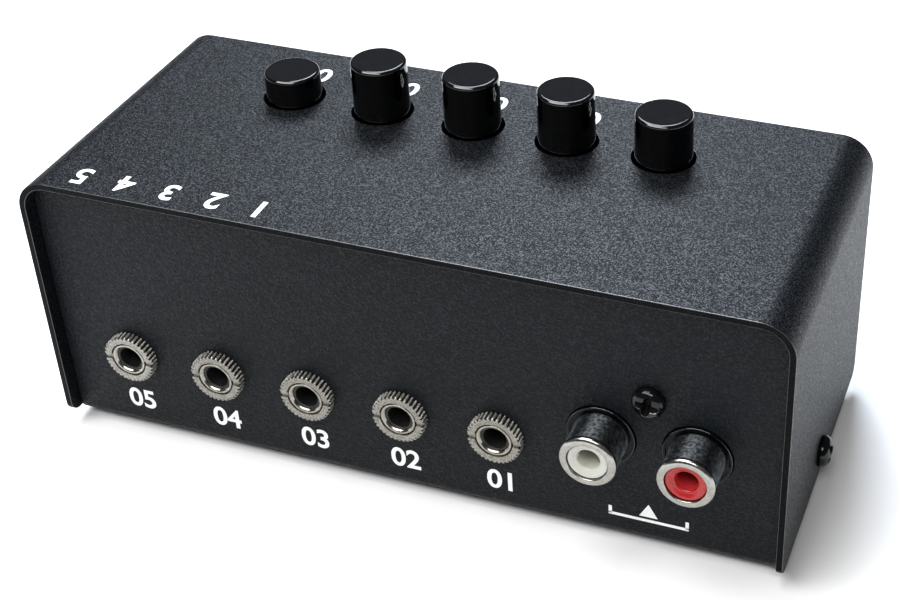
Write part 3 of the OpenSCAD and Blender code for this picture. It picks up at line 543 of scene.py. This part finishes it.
def button_cap(i):
    """Glossy cap with its top painted paler, a painted sheen: drafted wall, rounded upper edge, and a boss with a
    square socket inside.
    """
    low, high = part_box(f"button_cap_{i}")
    tall = (high.z - low.z) / MM
    base_r = (high.x - low.x) / 2 / MM
    roof = tall - CAP_ROOF
    outline = [
        (0, tall), (CAP_TOP_R - CAP_EDGE_R - CAP_SHOULDER, tall),
        *arc((CAP_TOP_R - CAP_EDGE_R, tall - CAP_EDGE_R), CAP_EDGE_R, CAP_EDGE_R, 90, 0, 8),
        (base_r, 0.1), (base_r - 0.1, 0), (base_r - CAP_WALL, 0), (base_r - CAP_WALL, roof),
        (CAP_BOSS_R, roof), (CAP_BOSS_R, 0), (0, 0)]
    centre = middle(f"button_cap_{i}")
    cap = put(turned(outline), Matrix.Translation((centre.x, centre.y, low.z)))
    # Faces on the flat top take the paler, duller copy: a painted sheen
    top_from = high.z - CAP_EDGE_R * MM
    for face in cap.faces:
        face.material_index = face.normal.z > CAP_TOP_FACING and face.calc_center_median().z > top_from
    made = piece(f"cap_{i}", cap, gloss_black, f"button_{i}", [f"button_cap_{i}"], CAP_SMOOTHER_THAN)
    made.data.materials.append(cap_top_painted_sheen)
    hollow = roof * MM
    socket_z = low.z + hollow / 2 - SOCKET_OVERCUT * MM
    carve(made, brick(SOCKET_W * MM, SOCKET_W * MM, hollow, (centre.x, centre.y, socket_z)), CAP_SMOOTHER_THAN)


WIRE_R = 0.22
COIL_R = 2.75
COIL_TURNS = 6
COIL_STEPS = 32
END_CLIMB = 0.1


def coil(i):
    """Compression spring of round wire with a flat turn at each end."""
    low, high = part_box(f"return_spring_{i}")
    centre = middle(f"return_spring_{i}")
    bm = bmesh.new()
    bmesh.ops.create_circle(bm, segments=10, radius=WIRE_R * MM, cap_ends=True, matrix=Matrix.Translation(
        (COIL_R * MM, 0, WIRE_R * MM)) @ Matrix.Rotation(math.pi / 2, 4, "X"))
    end = {"geom_last": list(bm.faces) + list(bm.edges) + list(bm.verts)}
    end_rise = END_CLIMB * MM + WIRE_R * MM
    climb = high.z - low.z - 4 * WIRE_R * MM - 2 * END_CLIMB * MM
    for turns, rise in ((1, end_rise), (COIL_TURNS - 2, climb), (1, end_rise)):
        steps = COIL_STEPS * turns
        end = bmesh.ops.spin(bm, geom=end["geom_last"], axis=(0, 0, 1), cent=(0, 0, 0), dvec=(0, 0, rise / steps),
                             angle=math.tau * turns, steps=steps)
    bmesh.ops.recalc_face_normals(bm, faces=bm.faces)
    put(bm, Matrix.Translation((centre.x, centre.y, low.z)))
    made = dressed(f"coil_{i}", bm, spring_steel, [f"return_spring_{i}"], smoother_than=60)
    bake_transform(made)


for i in FIVE:
    button_cap(i)
    coil(i)

# Jacks

NUT_RIDGES = 36
NUT_H = 1.5
KNURL_DEPTH = 0.42
NUT_CHAMFER = 0.16
NUT_BORE_R = 2.75
NUT_MOUTH_R = 2.9
NUT_SLOT_W = 0.8
NUT_SLOT_D = 0.7
NUT_SLOT_L = 10  # past the nut on both sides
NUT_SMOOTHER_THAN = 30
ON_RIDGES, IN_GAPS = 1, 2

# Above 1, this power makes the knurl's ridges broader than its gaps
RIDGE_BREADTH = 1.2

# The knurl's cone, in shares of the chamfer below the face; then the mouth and bore, from the face to the back, as
# (radius, height)
CONE_STEPS = (1, 0.7, 0.4, 0)
NUT_MOUTH = ((NUT_MOUTH_R + 0.12, NUT_H), (NUT_MOUTH_R + 0.03, NUT_H - 0.04), (NUT_MOUTH_R, NUT_H - 0.12),
             (NUT_MOUTH_R, NUT_H - 0.7), (NUT_BORE_R, NUT_H - 0.8), (NUT_BORE_R, 0))

JACK_BORE_R = 1.8
LINER_R = 2.1
LINER_GAP = 0.02
LINER_SINK = 0.42
LINER_LIP = 0.12
SLEEVE_EDGE_R = 0.1
MOULDING_EDGE_R = 0.15


def knurl(tip):
    """Radius of a straight knurl as a function of the angle: round ridges with gaps between them."""
    def radius(turn):
        return tip - KNURL_DEPTH * (0.5 - 0.5 * math.cos(NUT_RIDGES * turn)) ** RIDGE_BREADTH
    return radius


def next_ring(bm, edges, radius, height):
    """Extrudes a loop of edges and puts its points at a radius, which may change with the angle, and a height."""
    made = bmesh.ops.extrude_edge_only(bm, edges=edges)["geom"]
    for point in (g for g in made if isinstance(g, bmesh.types.BMVert)):
        turn = math.atan2(point.co.y, point.co.x)
        r = radius(turn) if callable(radius) else radius
        point.co = (r * math.cos(turn) * MM, r * math.sin(turn) * MM, height * MM)
    return [g for g in made if isinstance(g, bmesh.types.BMEdge)]


def ring_nut(i):
    """Round nut: knurled edge whose ridges a turned cone cuts back, a bore opened out at its mouth, two slots."""
    low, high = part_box(f"jack_nut_{i}")
    tip = (high.x - low.x) / 2 / MM
    bm = bmesh.new()
    bmesh.ops.create_circle(bm, segments=8 * NUT_RIDGES, radius=tip * MM)
    first = list(bm.edges)
    ring = knurl(tip)
    for point in bm.verts:
        turn = math.atan2(point.co.y, point.co.x)
        point.co = (ring(turn) * math.cos(turn) * MM, ring(turn) * math.sin(turn) * MM, 0)
    edges = first
    for below in CONE_STEPS:
        cone = tip - NUT_CHAMFER * (1 - below)
        edges = next_ring(bm, edges, lambda turn: min(ring(turn), cone), NUT_H - NUT_CHAMFER * below)
    for radius, height in NUT_MOUTH:
        edges = next_ring(bm, edges, radius, height)
    bmesh.ops.bridge_loops(bm, edges=first + edges)
    bmesh.ops.recalc_face_normals(bm, faces=bm.faces)
    # The ridges take the paler copy, a painted highlight, and the gaps the darker one, a painted shade
    for face in bm.faces:
        below_tip = tip - face.calc_center_median().xy.length / MM
        if below_tip < 0.5 * KNURL_DEPTH:
            face.material_index = ON_RIDGES
        elif below_tip < KNURL_DEPTH:
            face.material_index = IN_GAPS
    put(bm, out_of_panel(f"jack_nut_{i}"))
    made = piece(f"ring_nut_{i}", bm, satin_nickel, "case", [f"jack_nut_{i}"], NUT_SMOOTHER_THAN)
    made.data.materials.append(ridge_nickel_painted_highlight)
    made.data.materials.append(gap_nickel_painted_shade)
    centre = middle(f"jack_nut_{i}")
    slot_at = (centre.x, rear_y + NUT_H * MM, centre.z)
    carve(made, brick(NUT_SLOT_L * MM, NUT_SLOT_D * MM, NUT_SLOT_W * MM, slot_at), NUT_SMOOTHER_THAN)


def bushing(i):
    """Turned sleeve: rounded end, flared mouth, and a thin wall round the liner. Returns the heights over the panel
    between which the liner runs."""
    low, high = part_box(f"jack_bushing_{i}")
    outer = (high.x - low.x) / 2 / MM
    front = (high.y - rear_y) / MM
    back = (low.y - rear_y) / MM
    outline = [
        (LINER_R + LINER_GAP, back), (outer, back),
        *arc((outer - SLEEVE_EDGE_R, front - SLEEVE_EDGE_R), SLEEVE_EDGE_R, SLEEVE_EDGE_R, 0, 90, 4),
        (2.42, front), (2.35, front - 0.04), (LINER_R + 0.06, front - 0.3), (LINER_R + LINER_GAP, front - 0.36)]
    sleeve = put(turned(outline), out_of_panel(f"jack_bushing_{i}"))
    piece(f"sleeve_{i}", sleeve, turned_nickel, "case", [f"jack_bushing_{i}"])
    return back, front - LINER_SINK


def jack_block(i, back, mouth):
    """Moulded body behind the panel, with the liner that runs forward inside the sleeve up to its mouth."""
    block = cad_copy(f"jack_body_{i}")
    soften(block, MOULDING_EDGE_R * MM)
    liner = turned([(JACK_BORE_R, back), (LINER_R, back), (LINER_R, mouth), (JACK_BORE_R + LINER_LIP, mouth),
                    (JACK_BORE_R, mouth - LINER_LIP)], steps=64)
    put(liner, out_of_panel(f"jack_bushing_{i}"))
    piece(f"jack_block_{i}", joined([block, liner]), matt_black, "case", [f"jack_body_{i}"])


for i in FIVE:
    ring_nut(i)
    jack_block(i, *bushing(i))

# Phono sockets

# Radii, and heights over the panel
SHELL_BACK = -3.5
SHELL_R = 4.0
SHELL_BORE_R = 3.6
RING_BACK = 5.3
RING_FRONT = 6.3
DRAWN_FRONT = RING_BACK - 0.12
RING_R = 4.2
MOUTH_R = 3.0
MOUTH_LIP_R = 0.2
ROLL_W, ROLL_H = 0.75, 0.6
INSERT_FACE = 5.95
BORE_FRONT = 4.9
PIN_R = 1.65
PIN_LIP_R = 0.4
PIN_BACK_R = 1.95
PIN_HOLE_BACK = 4.2
COLLAR_GROOVE = (4.1, 4.55)
COLLAR_H = 0.4
GROOVE_DEPTH = 0.2
GROOVE_TOP = 1
HOUSING_EDGE_R = 0.1


def phono_shell(side):
    """Drawn barrel with its mouth rolled into a ring: hazed by the die and brushed along its wall, and painted darker
    there than the bright ring, a painted reflection of the dark panel it mirrors.
    """
    barrel = turned([
        (SHELL_BORE_R, SHELL_BACK), (SHELL_R, SHELL_BACK), (SHELL_R, RING_BACK - 0.1), (4.06, RING_BACK),
        *arc((RING_R - ROLL_W, RING_FRONT - ROLL_H), ROLL_W, ROLL_H, -20, 86, 12),
        *arc((MOUTH_R + MOUTH_LIP_R, RING_FRONT - MOUTH_LIP_R), MOUTH_LIP_R, MOUTH_LIP_R, 86, 180, 6),
        (MOUTH_R, RING_BACK), (SHELL_BORE_R, RING_BACK)])
    put(barrel, out_of_panel(f"phono_shell_{side}"))
    made = piece(f"barrel_{side}", barrel, bright_nickel, "case", [f"phono_shell_{side}"])
    made.data.materials.append(barrel_nickel_painted_dark)
    # Faces behind the ring take the darker copy, a painted reflection
    for face in made.data.polygons:
        face.material_index = face.center.y < rear_y + DRAWN_FRONT * MM


def phono_insert(side, material, bore):
    """Moulded insert: narrow rim, shallow dish, and a short pin hole with a rounded mouth and a wider bore behind."""
    insert = turned([
        (PIN_BACK_R, SHELL_BACK), (3.55, SHELL_BACK), (3.55, RING_BACK), (2.92, RING_BACK),
        (2.92, INSERT_FACE - 0.08), (2.84, INSERT_FACE), (2.55, INSERT_FACE), (2.45, INSERT_FACE - 0.03),
        (2.05, INSERT_FACE - 0.3), *arc((PIN_R + PIN_LIP_R, INSERT_FACE - 0.72), PIN_LIP_R, PIN_LIP_R, 90, 180, 5),
        (PIN_R, PIN_HOLE_BACK), (PIN_BACK_R, PIN_HOLE_BACK)])
    put(insert, out_of_panel(f"phono_insert_{side}"))
    made = piece(f"insert_{side}", insert, material, "case", [f"phono_insert_{side}"])
    made.data.materials.append(bore)
    # Faces in the bore take the tinted copy, painted light inside the hole
    for face in made.data.polygons:
        face.material_index = face.center.y < rear_y + BORE_FRONT * MM


for side, material, bore in (("white", plug_white, bore_white_painted_light), ("red", plug_red, bore_red_painted_light)):
    phono_shell(side)
    phono_insert(side, material, bore)
housing = cad_copy("phono_housing")
for face in soften(housing, HOUSING_EDGE_R * MM):
    face.material_index = ON_EDGE
block = piece("socket_block", housing, collar_black, "case", ["phono_housing"])
block.data.materials.append(gloss_black)
inner, outer = COLLAR_GROOVE
groove_floor = COLLAR_H - GROOVE_DEPTH
groove = [(inner, groove_floor), (outer, groove_floor), (outer, GROOVE_TOP), (inner, GROOVE_TOP)]
carve(block, joined([put(turned(groove), out_of_panel(f"phono_shell_{side}")) for side in ("white", "red")]))

# Inside

ROD_EDGE_R = 0.1

for i in FIVE:
    for node, name, edge_r, material, body, slot in (
            (f"switch_body_{i}", f"switch_shell_{i}", MOULDING_EDGE_R, matt_black, "case", "black_moulding"),
            (f"plunger_{i}", f"push_rod_{i}", ROD_EDGE_R, acetal, f"button_{i}", "ivory_moulding")):
        solid = cad_copy(node)
        soften(solid, edge_r * MM)
        piece(name, solid, material, body, [node])
for node, material in (("main_board", mask), ("switch_frame", zinc), ("latch_bar", zinc),
                       ("latch_spring", spring_steel), ("board_standoffs", zinc), ("board_screws", zinc),
                       ("switch_pins", satin_nickel), ("jack_contacts", bronze), ("phono_contacts", bronze)):
    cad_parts[node].data.materials[0] = material
for i in FIVE:
    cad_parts[f"contact_bridge_{i}"].data.materials[0] = bronze

# Printed marks: plain numbers, and a bar with an arrow that joins the two phono sockets

INK = 0.02 * MM
BOLDER = 0.02


def number(words, tall, centre, turn):
    """White printed number of a height in millimetres; turn takes its plane onto the sheet."""
    text = bpy.data.curves.new("number", "FONT")
    text.body = words
    text.offset = BOLDER
    holder = bpy.data.objects.new("number", text)
    bpy.context.scene.collection.objects.link(holder)
    flat = bpy.data.meshes.new_from_object(holder.evaluated_get(bpy.context.evaluated_depsgraph_get()))
    bpy.data.objects.remove(holder)
    bpy.data.curves.remove(text)
    bm = bmesh.new()
    bm.from_mesh(flat)
    bpy.data.meshes.remove(flat)
    bmesh.ops.remove_doubles(bm, verts=bm.verts, dist=0.0001)
    made = bmesh.ops.extrude_face_region(bm, geom=list(bm.faces))["geom"]
    bmesh.ops.translate(bm, vec=(0, 0, 1), verts=[g for g in made if isinstance(g, bmesh.types.BMVert)])
    bmesh.ops.recalc_face_normals(bm, faces=bm.faces)
    across = [v.co.x for v in bm.verts]
    along = [v.co.y for v in bm.verts]
    scale = tall * MM / (max(along) - min(along))
    put(bm, Matrix.Translation((-(max(across) + min(across)) / 2, -(max(along) + min(along)) / 2, 0)))
    return put(bm, Matrix.Translation(centre) @ turn @ Matrix.Diagonal((scale, scale, INK, 1)))


FACES_REAR = Matrix.Rotation(math.pi, 4, "Z") @ Matrix.Rotation(math.pi / 2, 4, "X")
FACES_UP = Matrix.Identity(4)
SOCKET_MARK_H, SOCKET_MARK_Z = 3.6, 6.8
BUTTON_MARK_H, BUTTON_MARK_Y = 4.2, -19.4
ROW_MARK_H, ROW_MARK_Y = 4.0, 18.6
ROW_MARK_X, ROW_MARK_PITCH = 20, 7.2
by_sockets = [number(f"0{i}", SOCKET_MARK_H, (middle(f"jack_nut_{i}").x, rear_y, SOCKET_MARK_Z * MM), FACES_REAR)
              for i in FIVE]
by_buttons = [number(f"0{i}", BUTTON_MARK_H, (middle(f"button_cap_{i}").x, BUTTON_MARK_Y * MM, top_z), FACES_UP)
              for i in FIVE]
in_row = [number(f"{i}", ROW_MARK_H, ((ROW_MARK_X + ROW_MARK_PITCH * (i - 1)) * MM, ROW_MARK_Y * MM, top_z), FACES_UP)
          for i in FIVE]
for name, marks in (("socket_numbers", by_sockets), ("button_numbers", by_buttons), ("row_numbers", in_row)):
    piece(name, joined(marks), print_white, "case", [])

BAR_W, BAR_Z = 12, 5.4
LINE_W = 0.5
TICK_H, TICK_Z = 1.4, 6.1
ARROW_R, ARROW_Z = 1.6, 6.9


def pair_mark():
    """Bar under the phono sockets with a tick at each end and an arrow up to them."""
    x = middle("phono_housing").x
    y = rear_y + INK / 2
    tick_x = (BAR_W - LINE_W) / 2 * MM
    bar = brick(BAR_W * MM, INK, LINE_W * MM, (x, y, BAR_Z * MM))
    ticks = [brick(LINE_W * MM, INK, TICK_H * MM, (x + side * tick_x, y, TICK_Z * MM)) for side in (-1, 1)]
    arrow = bmesh.new()
    bmesh.ops.create_cone(arrow, segments=3, radius1=ARROW_R * MM, radius2=ARROW_R * MM, depth=INK, cap_ends=True)
    put(arrow, Matrix.Translation((x, y, ARROW_Z * MM)) @ FACES_REAR)
    return joined([bar, *ticks, arrow])


piece("pair_mark", pair_mark(), print_white, "case", [])

# Studio: white paper floor, soft lights and camera

FLOOR_HALF = 3
WORLD_STRENGTH = 0.1

ground = bmesh.new()
bmesh.ops.create_grid(ground, x_segments=1, y_segments=1, size=FLOOR_HALF)
floor_mesh = bpy.data.meshes.new("floor")
ground.to_mesh(floor_mesh)
ground.free()
floor = bpy.data.objects.new("floor", floor_mesh)
bpy.context.scene.collection.objects.link(floor)
paper = finish("paper_white", Base_Color=colour("#f6f6f6"), Roughness=0.9, Specular_IOR_Level=0.1)[0]
floor_mesh.materials.append(paper)


def softbox(name, at, towards, wide, tall, power, tint="#ffffff"):
    """A rectangular area light, of sizes in metres and a power in watts."""
    light = bpy.data.lights.new(name, "AREA")
    light.shape = "RECTANGLE"
    light.size = wide
    light.size_y = tall
    light.energy = power
    light.color = colour(tint)[:3]
    made = bpy.data.objects.new(name, light)
    made.location = at
    made.rotation_mode = "QUATERNION"
    made.rotation_quaternion = (Vector(towards) - Vector(at)).to_track_quat("-Z", "Y")
    bpy.context.scene.collection.objects.link(made)


# A wide strip lights the rear panel and draws its edges; a box overhead stands in the glossy caps; one behind, a
# little cold, rakes the top and brings out its grit
softbox("front_strip", at=(0.2, 0.7, 1.08), towards=(0, 0.05, 0), wide=1.5, tall=0.4, power=16)
softbox("overhead", at=(0.26, 0.02, 0.95), towards=(0, 0.02, 0), wide=0.6, tall=0.6, power=8)
softbox("back_top", at=(0.17, -0.5, 0.6), towards=(0, 0, 0.04), wide=0.3, tall=0.3, power=7.1, tint="#e6f1ff")

world = bpy.data.worlds.new("studio")
bpy.context.scene.world = world
world.use_nodes = True
sky = world.node_tree.nodes["Background"]
sky.inputs["Color"].default_value = colour("#ffffff")
sky.inputs["Strength"].default_value = WORLD_STRENGTH

bpy.context.scene.view_settings.view_transform = "Standard"

# The photograph's view: azimuth 0 looks along +Y; the frame is 900 x 600 pixels and the sensor 36 mm wide
VIEW_AZIMUTH = math.radians(199.99)
VIEW_ELEVATION = math.radians(34.36)
VIEW_ROLL = math.radians(-1.12)
VIEW_DISTANCE = 270.11 * MM
VIEW_TARGET = Vector((-14.1, -18.54, 22.3)) * MM
FOCAL_PIXELS = 1698.44
AXIS_PIXEL = (580.07, 248.74)
FRAME_W, FRAME_H = 900, 600
SENSOR = 36

back = Vector((math.sin(VIEW_AZIMUTH) * math.cos(VIEW_ELEVATION),
               -math.cos(VIEW_AZIMUTH) * math.cos(VIEW_ELEVATION), math.sin(VIEW_ELEVATION)))
right = Vector((0, 0, 1)).cross(back).normalized()
up = back.cross(right)
rolled_right = math.cos(VIEW_ROLL) * right + math.sin(VIEW_ROLL) * up
rolled_up = math.cos(VIEW_ROLL) * up - math.sin(VIEW_ROLL) * right
lens = bpy.data.cameras.new("view")
lens.sensor_width = SENSOR
lens.lens = FOCAL_PIXELS / FRAME_W * SENSOR
lens.shift_x = (FRAME_W / 2 - AXIS_PIXEL[0]) / FRAME_W
lens.shift_y = (AXIS_PIXEL[1] - FRAME_H / 2) / FRAME_W
lens.clip_start = 1 * MM
camera = bpy.data.objects.new("view", lens)
camera.rotation_mode = "QUATERNION"
camera.rotation_quaternion = Matrix((rolled_right, rolled_up, back)).transposed().to_quaternion()
camera.location = VIEW_TARGET + back * VIEW_DISTANCE
bpy.context.scene.collection.objects.link(camera)
bpy.context.scene.camera = camera

bpy.context.view_layer.update()
